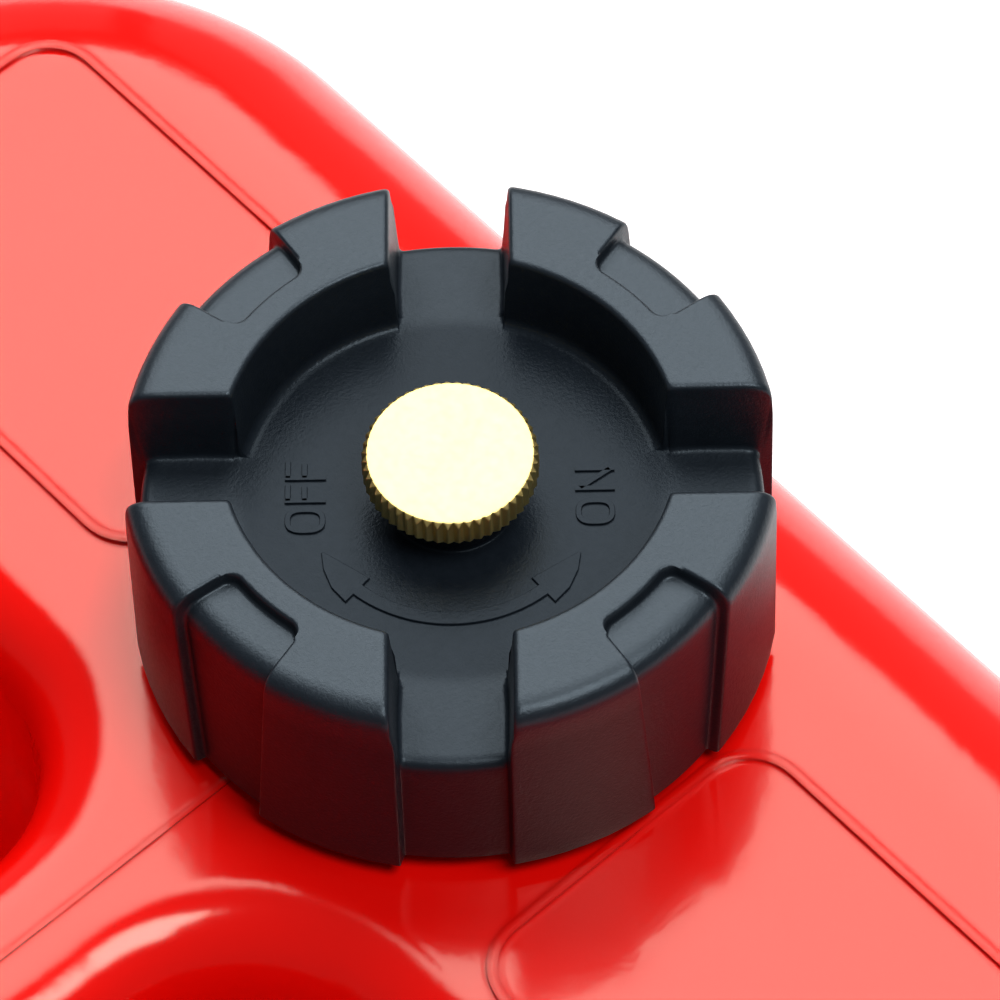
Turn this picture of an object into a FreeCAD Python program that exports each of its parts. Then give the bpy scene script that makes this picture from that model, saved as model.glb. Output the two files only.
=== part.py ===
import FreeCAD, Part
import math
import os

# Portable fuel tank for an outboard motor. Millimetres, +Z up, +X towards the filler end.
# The origin is the middle of the tank's footprint, on the surface that the tank stands on.

# Tank body
tank_length = 480.0
tank_width = 300.0
tank_height = 215.0
wall = 3.5
corner_radius = 60.0
shoulder_radius = 31.0
base_radius = 18.0
base_recess_depth = 3.0
base_border = 46.0
base_recess_corner = 30.0
flash_height = 0.35
flash_width = 0.9

# Carrying grip, moulded over two hand pockets
grip_middle_x = 35.0
grip_width = 32.0
grip_thickness = 26.0
grip_edge = 9.0
hand_gap_height = 34.0
hand_gap_length = 118.0
hand_gap_corner = 13.0
hand_sill_height = 25.0
pocket_length = 190.0
pocket_width = 58.0
pocket_corner = 22.0
pocket_floor_radius = 12.0
pocket_rim_radius = 12.0

# Shallow panels in the long sides and hold-down pockets in the ends
side_panel_length = 330.0
side_panel_height = 104.0
side_panel_middle = 100.0
side_panel_depth = 2.5
side_panel_corner = 18.0
hold_down_width = 90.0
hold_down_height = 30.0
hold_down_middle = 47.0
hold_down_depth = 13.0
hold_down_corner = 7.0

# Outlined panels beside the filler, left bare
outline_height = 0.6
outline_width = 1.5
outline_corner = 9.0
outline_length = 54.5
outline_span = 80.0
left_outline_shift = -2.75
left_outline_start = 36.0
right_outline_shift = -11.25
right_outline_start = 43.0

# Filler neck and its two-start thread
filler_to_end = 58.0
neck_radius = 37.0
neck_bore_radius = 31.0
neck_height = 21.1
neck_rim_chamfer = 1.0
thread_lead = 12.0
thread_starts = 2
thread_turn = 0.75
thread_ridge = 2.4
thread_root_width = 2.6
thread_crest_width = 1.5
thread_below_rim = 2.0
thread_side_gap = 0.4
thread_flank_gap = 0.3
thread_step_degrees = 15.0

# Filler cap
cap_yaw = -41.9
cap_radius = 44.5
cap_foot_radius = 44.9
cap_height = 37.3
cap_shoulder_drop = 3.6
cap_shoulder_width = 3.6
cap_deck_thickness = 3.0
cap_dish_radius = 30.6
cap_dish_depth = 13.7
cap_dish_draft = 1.0
cap_lobes = 4
lobe_gap_half_top = 8.26
lobe_gap_half_foot = 7.4
lobe_gap_recess = 1.9
notch_drop = 2.0
notch_recess = 1.6
notch_inner_radius = 34.8
notch_half_inner = 6.6
notch_foot_share = 0.7
notch_corner = 2.5
gasket_thickness = 2.5
gasket_inner_radius = 30.0
gasket_play = 0.5

# Vent screw in the middle of the cap
knob_radius = 12.0
knob_height = 4.8
knob_below_top = 2.4
knob_teeth = 51
knob_tooth_depth = 0.7
knob_bevel = 0.5
vent_washer_thickness = 2.0
vent_washer_radius = 7.6
vent_shank_radius = 4.0
vent_pitch = 1.25
vent_turns = 2.0
vent_shank_below_bush = 7.5
vent_air_radius = 1.2
vent_running_gap = 0.05
bush_radius = 6.0
bush_length = 14.0
bush_collar_radius = 7.2
bush_collar_thickness = 2.0
vent_boss_radius = 8.6
stop_ring_radius = 6.2
stop_ring_thickness = 1.2
stop_ring_gap = 0.3
stop_ring_mouth = 4.1

# Gauge and fuel outlet head
head_from_end = 90.0
seat_radius = 50.0
seat_rise = 5.0
seat_thickness = 17.0
seat_edge = 2.0
seat_hole_radius = 27.0
head_radius = 46.0
head_thickness = 7.0
head_edge = 1.5
head_gasket_thickness = 2.0
head_spigot_radius = 26.4
head_spigot_depth = 6.0
screw_count = 6
screw_circle_radius = 38.0
screw_first_angle = 30.0
screw_radius = 2.5
screw_length = 16.0
screw_head_radius = 4.6
screw_head_height = 3.4
screw_slot_width = 1.0
screw_hole_gap = 0.3
washer_radius = 5.6
washer_thickness = 1.0
insert_radius = 4.0
insert_length = 12.0

# Gauge in the head
gauge_shift = 9.5
gauge_collar_radius = 20.0
gauge_collar_height = 12.0
gauge_collar_edge = 0.75
gauge_chamber_radius = 17.0
lens_radius = 18.3
lens_thickness = 2.2
lens_crown = 2.4
lens_seal_thickness = 0.8
dial_thickness = 0.8
dial_gap = 0.2
pointer_hub_radius = 2.6
pointer_hub_height = 2.4
pointer_above_dial = 1.0
pointer_length = 13.5
pointer_width = 1.8
pointer_tip_width = 0.45
pointer_tail = 5.2
pointer_thickness = 0.7
spindle_radius = 1.4
spindle_running_gap = 0.05
spindle_collar_radius = 3.2
spindle_collar_height = 2.0
spindle_collar_gap = 0.3
ribbon_width = 6.0
ribbon_thickness = 1.0
ribbon_sweep = 270.0
ribbon_step_degrees = 10.0
foot_pin_radius = 1.2
guide_rod_radius = 1.8
guide_rod_offset = 15.8
guide_rod_socket = 3.0
guide_foot_thickness = 3.0
guide_foot_width = 9.0
guide_foot_above_floor = 5.0
float_radius = 13.0
float_height = 24.0
float_ear_half = 18.8
float_ear_width = 12.0
float_rod_gap = 0.35
float_bore_radius = 4.3
float_plate_thickness = 2.5
float_slot_gap = 0.4
float_rest_gap = 0.3
float_top_gap = 4.0

# Fuel outlet elbow and pick-up
outlet_shift = -20.5
outlet_boss_radius = 9.0
outlet_boss_height = 6.0
outlet_thread_radius = 6.6
outlet_thread_length = 9.0
outlet_bore_radius = 3.2
elbow_body_radius = 8.0
elbow_rise = 11.0
elbow_seal_thickness = 1.6
barb_length = 26.0
barb_count = 3
barb_root_radius = 4.5
barb_crest_radius = 5.4
barb_neck = 4.0
pickup_radius = 4.75
pickup_socket = 6.0
pickup_above_floor = 8.0
screen_wall = 0.8
screen_gap = 0.05
screen_above_floor = 1.0
screen_overlap = 8.0
screen_slots = 8
screen_slot_width = 1.6

# Places that follow from the sizes above
tiny = 0.01
beyond = 5.0
cap_clearance = 3.0
neck_x = tank_length / 2 - filler_to_end
neck_top = tank_height + neck_height
cap_top = tank_height + cap_clearance + cap_height
cap_deck_under = cap_top - cap_dish_depth - cap_deck_thickness
cap_bore_radius = neck_radius + thread_ridge + thread_side_gap
head_x = -tank_length / 2 + head_from_end
seat_top = tank_height + seat_rise
head_low = seat_top + head_gasket_thickness
head_top = head_low + head_thickness
head_under = head_low - head_spigot_depth
gauge_x = head_x + gauge_shift
outlet_x = head_x + outlet_shift
grip_top = tank_height
hand_gap_top = grip_top - grip_thickness
hand_gap_low = hand_gap_top - hand_gap_height
pocket_floor = hand_gap_low - hand_sill_height
inner_floor = wall + base_recess_depth
guide_foot_low = inner_floor + guide_foot_above_floor
guide_foot_top = guide_foot_low + guide_foot_thickness
float_low = guide_foot_top + float_rest_gap
float_high = float_low + float_height
float_travel = head_under - spindle_collar_height - float_top_gap - float_high
ribbon_rate = ribbon_sweep / float_travel
float_plate_middle = float_low + float_height / 2
knob_top = cap_top - knob_below_top
knob_low = knob_top - knob_height
boss_top = knob_low - vent_washer_thickness
bush_low = boss_top - bush_length
vent_travel = vent_pitch * vent_turns
stop_ring_top = bush_low - vent_travel - stop_ring_gap
dial_low = head_top - dial_gap
dial_top = dial_low + dial_thickness
pointer_low = dial_top + pointer_above_dial
collar_top = head_top + gauge_collar_height
lens_low = collar_top - lens_thickness


def point(x, y, z):
    return FreeCAD.Vector(x, y, z)


def box(x_range, y_range, z_range):
    """A block between two corners."""
    low = point(x_range[0], y_range[0], z_range[0])
    size = (x_range[1] - x_range[0], y_range[1] - y_range[0], z_range[1] - z_range[0])
    return Part.makeBox(size[0], size[1], size[2], low)


def rod(radius, low, high, x=0.0, y=0.0):
    """An upright round bar."""
    return Part.makeCylinder(radius, high - low, point(x, y, low))


def ring(outer, inner, low, high, x=0.0, y=0.0):
    """An upright tube; its bore runs clean through."""
    return rod(outer, low, high, x, y).cut(rod(inner, low - beyond, high + beyond, x, y))


def around(middle, half):
    return (middle - half, middle + half)


def edges_in_plane(shape, axis, value):
    """Edges that lie in the plane where the named axis has this value."""
    found = []
    for edge in shape.Edges:
        low = getattr(edge.BoundBox, axis + "Min")
        high = getattr(edge.BoundBox, axis + "Max")
        if abs(low - value) < tiny and abs(high - value) < tiny:
            found.append(edge)
    return found


def edges_along(shape, axis):
    """Straight edges that run along the named axis."""
    others = [name for name in "XYZ" if name != axis]
    found = []
    for edge in shape.Edges:
        lengths = [getattr(edge.BoundBox, name + "Length") for name in others]
        if max(lengths) < tiny:
            found.append(edge)
    return found


def round_block(x_range, y_range, z_range, axis, radius):
    """A block whose four edges along one axis are rounded."""
    block = box(x_range, y_range, z_range)
    return block.makeFillet(radius, edges_along(block, axis))


def fuse_all(shapes):
    """One solid from shapes that overlap or share faces."""
    first = shapes[0]
    if len(shapes) == 1:
        return first
    return first.fuse(shapes[1:]).removeSplitter()


def cut_all(shape, tools):
    for tool in tools:
        shape = shape.cut(tool)
    return shape


def turned_copies(shape, count, x, y, first=0.0):
    """Copies spaced evenly about the upright axis through x, y."""
    copies = []
    for index in range(count):
        copy = shape.copy()
        copy.rotate(point(x, y, 0), point(0, 0, 1), first + 360.0 * index / count)
        copies.append(copy)
    return copies


def revolve(points, x, y):
    """A closed outline of radius and height pairs, spun about the axis through x, y."""
    corners = [point(radius, 0, height) for radius, height in points]
    face = Part.Face(Part.makePolygon(corners + [corners[0]]))
    solid = face.revolve(point(0, 0, 0), point(0, 0, 1), 360)
    solid.translate(point(x, y, 0))
    return solid


def loft(outlines):
    """A solid with straight lines between closed outlines."""
    wires = [Part.makePolygon(outline + [outline[0]]) for outline in outlines]
    return Part.makeLoft(wires, True, True)


# Tank

def tank_block(inset):
    """The plain body, drawn in by inset on every side."""
    body = round_block(
        around(0, tank_length / 2 - inset),
        around(0, tank_width / 2 - inset),
        (inset, tank_height - inset),
        "Z",
        corner_radius - inset,
    )
    body = body.makeFillet(shoulder_radius - inset, edges_in_plane(body, "Z", tank_height - inset))
    return body.makeFillet(base_radius - inset, edges_in_plane(body, "Z", inset))


def hand_pocket(side, grow):
    """The scoop on one side of the grip, made larger by grow."""
    near = side * (grip_width / 2 - grow)
    far = side * (grip_width / 2 + pocket_width + grow)
    floor = pocket_floor - grow
    pocket = round_block(
        around(grip_middle_x, pocket_length / 2 + grow),
        (min(near, far), max(near, far)),
        (floor, grip_top + beyond),
        "Z",
        pocket_corner + grow,
    )
    return pocket.makeFillet(pocket_floor_radius + grow, edges_in_plane(pocket, "Z", floor))


def hand_gap(grow):
    """The way through under the grip."""
    return round_block(
        around(grip_middle_x, hand_gap_length / 2 + grow),
        around(0, grip_width / 2 + pocket_width / 4),
        (hand_gap_low - grow, hand_gap_top + grow),
        "Y",
        hand_gap_corner + grow,
    )


def side_panel(side, grow):
    """The shallow stiffening panel in one long side."""
    face = side * (tank_width / 2 - side_panel_depth - grow)
    outside = side * (tank_width / 2 + beyond)
    return round_block(
        around(0, side_panel_length / 2 + grow),
        (min(face, outside), max(face, outside)),
        around(side_panel_middle, side_panel_height / 2 + grow),
        "Y",
        side_panel_corner + grow,
    )


def hold_down_pocket(end, grow):
    """The pocket in one end wall that a hold-down bracket hooks into."""
    face = end * (tank_length / 2 - hold_down_depth - grow)
    outside = end * (tank_length / 2 + beyond)
    return round_block(
        (min(face, outside), max(face, outside)),
        around(0, hold_down_width / 2 + grow),
        around(hold_down_middle, hold_down_height / 2 + grow),
        "X",
        hold_down_corner + grow,
    )


def base_recess(grow):
    """The raised middle of the underside, which leaves a border to stand on."""
    return round_block(
        around(0, tank_length / 2 - base_border + grow),
        around(0, tank_width / 2 - base_border + grow),
        (-beyond, base_recess_depth + grow),
        "Z",
        base_recess_corner + grow,
    )


def hollowed_shape(inset):
    """The body with its pockets: the outside at inset 0, and the fuel space at one wall."""
    tools = [hand_pocket(1, inset), hand_pocket(-1, inset), hand_gap(inset)]
    tools += [side_panel(1, inset), side_panel(-1, inset)]
    tools += [hold_down_pocket(1, inset), hold_down_pocket(-1, inset)]
    tools.append(base_recess(inset))
    body = cut_all(tank_block(inset), tools)
    rim = []
    for edge in edges_in_plane(body, "Z", grip_top - inset):
        if abs(edge.BoundBox.Center.x - grip_middle_x) <= pocket_length / 2 + inset + tiny:
            if abs(edge.BoundBox.Center.y) <= grip_width / 2 + pocket_width + inset + tiny:
                rim.append(edge)
    body = body.makeFillet(pocket_rim_radius - inset, rim)
    lip = []
    for side in (1, -1):
        for edge in edges_in_plane(body, "Y", side * (grip_width / 2 - inset)):
            inside = edge.BoundBox
            if inside.ZMax < hand_gap_top + inset + tiny and inside.ZMin > hand_gap_low - inset - tiny:
                lip.append(edge)
    return body.makeFillet(grip_edge - inset, lip)


def flash_line():
    """The thin ridge that the mould's two halves leave along the middle."""
    ridge = tank_block(-flash_height).cut(tank_block(wall / 2))
    keep = box(
        around(0, tank_length),
        around(0, flash_width / 2),
        (base_radius, tank_height + beyond),
    )
    ridge = ridge.common(keep)
    return ridge.cut(hold_down_pocket(1, 0)).cut(hold_down_pocket(-1, 0))


def outline_frame(shift, start, side):
    """The raised thin line round one bare panel beside the filler."""
    low = tank_height - outline_height
    high = tank_height + outline_height
    frame = None
    for inset in (0.0, outline_width):
        near = side * (start + inset)
        far = side * (start + outline_span - inset)
        plate = round_block(
            around(neck_x + shift, outline_length / 2 - inset),
            (min(near, far), max(near, far)),
            (low, high),
            "Z",
            outline_corner - inset,
        )
        frame = plate if frame is None else frame.cut(plate)
    return frame


def thread_outline(angle, height, root, crest):
    """The ridge's section at an angle: wide at its root, narrow at its crest."""
    direction = (math.cos(angle), math.sin(angle))
    section = []
    for radius, offset in (
        (root, -thread_root_width / 2),
        (crest, -thread_crest_width / 2),
        (crest, thread_crest_width / 2),
        (root, thread_root_width / 2),
    ):
        section.append(point(radius * direction[0], radius * direction[1], height + offset))
    return section


def thread(root, crest, low, x):
    """All starts of the thread, each rising by the lead over a full turn."""
    steps = round(360.0 * thread_turn / thread_step_degrees)
    ridges = []
    for start in range(thread_starts):
        outlines = []
        for step in range(steps + 1):
            degrees = 360.0 * start / thread_starts + step * thread_step_degrees
            rise = thread_lead * step * thread_step_degrees / 360.0
            outlines.append(thread_outline(math.radians(degrees), low + rise, root, crest))
        ridge = loft(outlines)
        ridge.translate(point(x, 0, 0))
        ridges.append(ridge)
    return ridges


def neck_thread_low():
    """Height of the neck thread's lowest point, counted down from the rim."""
    rise = thread_lead * thread_turn
    return neck_top - thread_below_rim - thread_root_width / 2 - rise


def tank_shell():
    shell = hollowed_shape(0.0)
    neck = rod(neck_radius, tank_height - wall, neck_top, neck_x)
    seat = rod(seat_radius, seat_top - seat_thickness, seat_top, head_x)
    seat = seat.makeFillet(seat_edge, edges_in_plane(seat, "Z", seat_top))
    raised = [neck, flash_line()]
    raised.append(outline_frame(left_outline_shift, left_outline_start, 1))
    raised.append(outline_frame(right_outline_shift, right_outline_start, -1))
    shell = fuse_all([shell] + raised)
    shell = shell.makeChamfer(neck_rim_chamfer, edges_in_plane(shell, "Z", neck_top))
    shell = shell.cut(hollowed_shape(wall))
    shell = shell.fuse([seat] + thread(neck_radius - thread_side_gap, neck_radius + thread_ridge,
                                       neck_thread_low(), neck_x))
    bores = [rod(neck_bore_radius, tank_height - 2 * wall, neck_top + beyond, neck_x)]
    bores.append(rod(seat_hole_radius, tank_height - seat_thickness - beyond, seat_top + beyond, head_x))
    bores += turned_copies(
        rod(insert_radius, seat_top - insert_length, seat_top + beyond, head_x + screw_circle_radius),
        screw_count, head_x, 0, screw_first_angle,
    )
    return cut_all(shell, bores).removeSplitter()


# Filler cap, drawn about its own axis and then turned and set in place

def cap_outline(drop, inset):
    """The cap's outside as a spun solid, lowered by drop and drawn in by inset."""
    foot = point(cap_foot_radius - inset, 0, cap_top - cap_height - beyond)
    side = point(cap_radius - inset, 0, cap_top - cap_shoulder_drop - drop)
    crown = point(cap_radius - cap_shoulder_width - inset, 0, cap_top - drop)
    bulge = math.sqrt(0.5)
    middle = point(
        cap_radius - inset - cap_shoulder_width * (1 - bulge),
        0,
        cap_top - drop - cap_shoulder_drop * (1 - bulge),
    )
    axis_top = point(0, 0, cap_top - drop)
    axis_low = point(0, 0, foot.z)
    edges = [
        Part.makeLine(axis_low, foot),
        Part.makeLine(foot, side),
        Part.Arc(side, middle, crown).toShape(),
        Part.makeLine(crown, axis_top),
        Part.makeLine(axis_top, axis_low),
    ]
    return Part.Face(Part.Wire(edges)).revolve(point(0, 0, 0), point(0, 0, 1), 360)


def cap_dish():
    """The dish in the top, a little narrower at its floor."""
    floor = cap_top - cap_dish_depth
    return revolve(
        [
            (0, floor),
            (cap_dish_radius - cap_dish_draft, floor),
            (cap_dish_radius, cap_top),
            (cap_dish_radius, cap_top + beyond),
            (0, cap_top + beyond),
        ],
        0,
        0,
    )


def lobe_gap():
    """The gap between two lobes, open to the outside, with drafted walls."""
    floor = cap_top - cap_dish_depth
    inner = cap_dish_radius - cap_dish_draft - beyond
    outer = cap_foot_radius + beyond
    slope = (lobe_gap_half_top - lobe_gap_half_foot) / cap_dish_depth
    half_high = lobe_gap_half_top + slope * beyond
    outlines = []
    for radius in (inner, outer):
        outlines.append([
            point(radius, -lobe_gap_half_foot, floor),
            point(radius, lobe_gap_half_foot, floor),
            point(radius, half_high, cap_top + beyond),
            point(radius, -half_high, cap_top + beyond),
        ])
    upper = loft(outlines)
    lower = box(
        (cap_radius - lobe_gap_recess, outer),
        around(0, lobe_gap_half_foot),
        (cap_top - cap_height - beyond, floor + tiny),
    )
    core = rod(cap_radius - lobe_gap_recess, cap_top - cap_height - beyond, floor + beyond)
    return upper.fuse(lower.cut(core))


def lobe_notch():
    """The shallow notch in a lobe's middle, over its top and down its side."""
    outer = cap_foot_radius + beyond
    outlines = []
    for height, share in ((cap_top + beyond, 1.0), (cap_top - cap_height - beyond, notch_foot_share)):
        half_inner = notch_half_inner * share
        half_outer = half_inner * outer / notch_inner_radius
        outlines.append([
            point(notch_inner_radius, -half_inner, height),
            point(notch_inner_radius, half_inner, height),
            point(outer, half_outer, height),
            point(outer, -half_outer, height),
        ])
    wedge = loft(outlines)
    inner_edges = []
    for edge in wedge.Edges:
        if edge.BoundBox.XMax < notch_inner_radius + tiny and edge.BoundBox.ZLength > cap_height:
            inner_edges.append(edge)
    wedge = wedge.makeFillet(notch_corner, inner_edges)
    notch = wedge.cut(cap_outline(notch_drop, notch_recess))
    notch.rotate(point(0, 0, 0), point(0, 0, 1), 180.0 / cap_lobes)
    return notch


def set_on_neck(shape):
    """Turns a part of the cap to its place on the tank."""
    shape.rotate(point(0, 0, 0), point(0, 0, 1), cap_yaw)
    shape.translate(point(neck_x, 0, 0))
    return shape


def filler_cap():
    foot = cap_top - cap_height
    slab = box(around(0, cap_foot_radius + beyond), around(0, cap_foot_radius + beyond),
               (foot, cap_top + beyond))
    body = cap_outline(0.0, 0.0).common(slab)
    body = body.cut(cap_dish())
    body = cut_all(body, turned_copies(lobe_gap(), cap_lobes, 0, 0))
    body = cut_all(body, turned_copies(lobe_notch(), cap_lobes, 0, 0))
    body = body.cut(rod(cap_bore_radius, foot - beyond, cap_deck_under))
    boss_low = cap_top - cap_dish_depth - cap_deck_thickness
    body = body.fuse(rod(vent_boss_radius, boss_low, boss_top))
    low = neck_thread_low() - thread_root_width - thread_flank_gap + thread_lead * cap_yaw / 360.0
    body = body.fuse(thread(cap_bore_radius + thread_side_gap, neck_radius + 2 * thread_side_gap, low, 0))
    body = body.cut(vent_bush_solid())
    body = body.cut(rod(bush_radius, cap_deck_under - beyond, boss_top + beyond))
    return set_on_neck(body.common(slab).removeSplitter())


def cap_gasket():
    outer = cap_bore_radius - gasket_play
    return ring(outer, gasket_inner_radius, cap_deck_under - gasket_thickness, cap_deck_under, neck_x)


def vent_bush_solid():
    """The moulded-in bush, without its bore: a collar under the boss's top."""
    collar = rod(bush_collar_radius, boss_top - 2 * bush_collar_thickness, boss_top - bush_collar_thickness)
    return collar.fuse(rod(bush_radius, bush_low, boss_top)).removeSplitter()


def vent_bush():
    bore = rod(vent_shank_radius + vent_running_gap, bush_low - beyond, boss_top + beyond)
    return set_on_neck(vent_bush_solid().cut(bore))


def knurled_disc(low, high):
    """The knob's rim of straight teeth, with a small bevel at both edges."""
    root = knob_radius - knob_tooth_depth
    half_step = math.pi / knob_teeth
    corners = []
    for tooth in range(knob_teeth):
        angle = 2 * half_step * tooth
        corners.append(point(knob_radius * math.cos(angle), knob_radius * math.sin(angle), low))
        angle += half_step
        corners.append(point(root * math.cos(angle), root * math.sin(angle), low))
    star = Part.Face(Part.makePolygon(corners + [corners[0]])).extrude(point(0, 0, high - low))
    bevelled = revolve(
        [
            (0, low),
            (knob_radius - knob_bevel, low),
            (knob_radius, low + knob_bevel),
            (knob_radius, high - knob_bevel),
            (knob_radius - knob_bevel, high),
            (0, high),
        ],
        0,
        0,
    )
    return star.common(bevelled)


def vent_screw():
    shank_low = bush_low - vent_shank_below_bush
    screw = knurled_disc(knob_low, knob_top).fuse(rod(vent_shank_radius, shank_low, knob_low + tiny))
    air_top = boss_top + vent_washer_thickness / 2
    screw = screw.cut(rod(vent_air_radius, shank_low - beyond, air_top))
    cross = Part.makeCylinder(
        vent_air_radius, 2 * vent_shank_radius, point(-vent_shank_radius, 0, boss_top - vent_air_radius),
        point(1, 0, 0),
    )
    groove = ring(
        vent_shank_radius + beyond,
        vent_shank_radius - stop_ring_thickness / 2,
        stop_ring_top - stop_ring_thickness,
        stop_ring_top,
    )
    return set_on_neck(screw.cut(cross).cut(groove).removeSplitter())


def vent_washer():
    return set_on_neck(ring(vent_washer_radius, vent_shank_radius + vent_running_gap, boss_top, knob_low))


def vent_stop_ring():
    """A snap ring with an open side."""
    inner = vent_shank_radius - stop_ring_thickness / 2
    body = ring(stop_ring_radius, inner, stop_ring_top - stop_ring_thickness, stop_ring_top)
    mouth = box((0, stop_ring_radius + beyond), around(0, stop_ring_mouth / 2),
                (stop_ring_top - 2 * stop_ring_thickness, stop_ring_top + stop_ring_thickness))
    return set_on_neck(body.cut(mouth))


# Gauge and fuel outlet head

def screw_places(shape):
    """Copies of one fastener at every screw of the head."""
    shape.translate(point(head_x + screw_circle_radius, 0, 0))
    return turned_copies(shape, screw_count, head_x, 0, screw_first_angle)


def head_inserts():
    insert = ring(insert_radius, screw_radius, seat_top - insert_length, seat_top)
    return Part.makeCompound(screw_places(insert))


def screw_holes(low, high):
    return screw_places(rod(screw_radius + screw_hole_gap, low - beyond, high + beyond))


def head_gasket():
    sheet = ring(head_radius, seat_hole_radius, seat_top, head_low, head_x)
    return cut_all(sheet, screw_holes(seat_top, head_low))


def gauge_head():
    flange = rod(head_radius, head_low, head_top, head_x)
    flange = flange.makeFillet(head_edge, edges_in_plane(flange, "Z", head_top))
    spigot = rod(head_spigot_radius, head_under, head_low, head_x)
    collar = rod(gauge_collar_radius, head_low, collar_top, gauge_x)
    collar = collar.makeFillet(gauge_collar_edge, edges_in_plane(collar, "Z", collar_top))
    outlet_boss_top = head_top + outlet_boss_height
    boss = rod(outlet_boss_radius, head_low, outlet_boss_top, outlet_x)
    head = fuse_all([flange, spigot, collar, boss])
    tools = screw_holes(head_low, head_top)
    tools.append(rod(gauge_chamber_radius, dial_low, collar_top + beyond, gauge_x))
    seal_low = lens_low - lens_seal_thickness
    tools.append(rod(lens_radius, seal_low, collar_top + beyond, gauge_x))
    tools.append(rod(spindle_radius + spindle_running_gap, head_under - beyond, head_top, gauge_x))
    tools.append(rod(outlet_thread_radius, outlet_boss_top - outlet_thread_length, outlet_boss_top + beyond, outlet_x))
    tools.append(rod(outlet_bore_radius, head_under - beyond, outlet_boss_top + beyond, outlet_x))
    tools.append(rod(pickup_radius, head_under - beyond, head_under + pickup_socket, outlet_x))
    for side in (1, -1):
        tools.append(rod(guide_rod_radius, head_under - beyond, head_under + guide_rod_socket,
                         gauge_x, side * guide_rod_offset))
    return cut_all(head, tools).removeSplitter()


def head_washers():
    washer = ring(washer_radius, screw_radius + screw_hole_gap, head_top, head_top + washer_thickness)
    return Part.makeCompound(screw_places(washer))


def head_screws():
    seat = head_top + washer_thickness
    head = rod(screw_head_radius, seat, seat + screw_head_height)
    head = head.makeFillet(screw_head_height / 2, edges_in_plane(head, "Z", seat + screw_head_height))
    slot = box(around(0, screw_head_radius), around(0, screw_slot_width / 2),
               (seat + screw_head_height / 2, seat + 2 * screw_head_height))
    cross = slot.copy()
    cross.rotate(point(0, 0, 0), point(0, 0, 1), 90)
    reach = rod(screw_radius, seat, seat + 2 * screw_head_height)
    recess = slot.fuse(cross).common(reach)
    shank = rod(screw_radius, seat - screw_length, seat + tiny)
    screw = head.fuse(shank).cut(recess).removeSplitter()
    return Part.makeCompound(screw_places(screw))


def gauge_lens():
    """A clear disc with a crowned top and a flat underside."""
    crown_radius = (lens_radius ** 2 + lens_crown ** 2) / (2 * lens_crown)
    ball = Part.makeSphere(crown_radius, point(gauge_x, 0, collar_top + lens_crown - crown_radius))
    cap = ball.common(rod(lens_radius, collar_top - tiny, collar_top + lens_crown + beyond, gauge_x))
    return rod(lens_radius, lens_low, collar_top, gauge_x).fuse(cap).removeSplitter()


def lens_seal():
    return ring(lens_radius, gauge_chamber_radius, lens_low - lens_seal_thickness, lens_low, gauge_x)


def gauge_dial():
    inner = spindle_radius + spindle_running_gap
    return ring(gauge_chamber_radius, inner, dial_low, dial_top, gauge_x)


def gauge_pointer():
    """A hub pressed on the spindle, with a needle that narrows to its tip."""
    hub = rod(pointer_hub_radius, pointer_low, pointer_low + pointer_hub_height)
    corners = [
        point(-pointer_tail, -pointer_width / 2, pointer_low),
        point(0, -pointer_width / 2, pointer_low),
        point(pointer_length, -pointer_tip_width / 2, pointer_low),
        point(pointer_length, pointer_tip_width / 2, pointer_low),
        point(0, pointer_width / 2, pointer_low),
        point(-pointer_tail, pointer_width / 2, pointer_low),
    ]
    needle = Part.Face(Part.makePolygon(corners + [corners[0]])).extrude(point(0, 0, pointer_thickness))
    pointer = hub.fuse(needle).cut(rod(spindle_radius, pointer_low - beyond, pointer_low + beyond))
    pointer.rotate(point(0, 0, 0), point(0, 0, 1), ribbon_sweep / 2)
    pointer.translate(point(gauge_x, 0, 0))
    return pointer.removeSplitter()


def ribbon_outline(height, thickness, width, rate_from):
    """A flat section, turned in step with its height."""
    angle = math.radians(ribbon_rate * (height - rate_from))
    along = (math.cos(angle), math.sin(angle))
    section = []
    for u, v in ((-1, -1), (1, -1), (1, 1), (-1, 1)):
        x = u * width / 2 * along[0] - v * thickness / 2 * along[1]
        y = u * width / 2 * along[1] + v * thickness / 2 * along[0]
        section.append(point(gauge_x + x, y, height))
    return section


def gauge_spindle():
    """A strip twisted at a steady rate, between a foot pin and a round shaft."""
    low = guide_foot_top + float_rest_gap
    high = head_under - spindle_collar_gap - spindle_collar_height
    steps = max(2, round((high - low) * ribbon_rate / ribbon_step_degrees))
    outlines = []
    for step in range(steps + 1):
        height = low + (high - low) * step / steps
        outlines.append(ribbon_outline(height, ribbon_thickness, ribbon_width, float_plate_middle))
    strip = loft(outlines)
    pin = rod(foot_pin_radius, guide_foot_low, low + ribbon_width / 2, gauge_x)
    collar = rod(spindle_collar_radius, high, high + spindle_collar_height, gauge_x)
    shaft = rod(spindle_radius, high, pointer_low + pointer_hub_height, gauge_x)
    return fuse_all([strip, pin, collar, shaft])


def gauge_guide():
    """Two rods and a foot that carries the spindle's pin."""
    foot = round_block(
        around(gauge_x, guide_foot_width / 2),
        around(0, guide_rod_offset + 2 * guide_rod_radius),
        (guide_foot_low, guide_foot_top),
        "Z",
        guide_rod_radius,
    )
    rods = []
    for side in (1, -1):
        rods.append(rod(guide_rod_radius, guide_foot_low, head_under + guide_rod_socket,
                        gauge_x, side * guide_rod_offset))
    bearing = rod(foot_pin_radius + spindle_running_gap, guide_foot_low - beyond,
                  guide_foot_top + beyond, gauge_x)
    return fuse_all([foot] + rods).cut(bearing)


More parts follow.
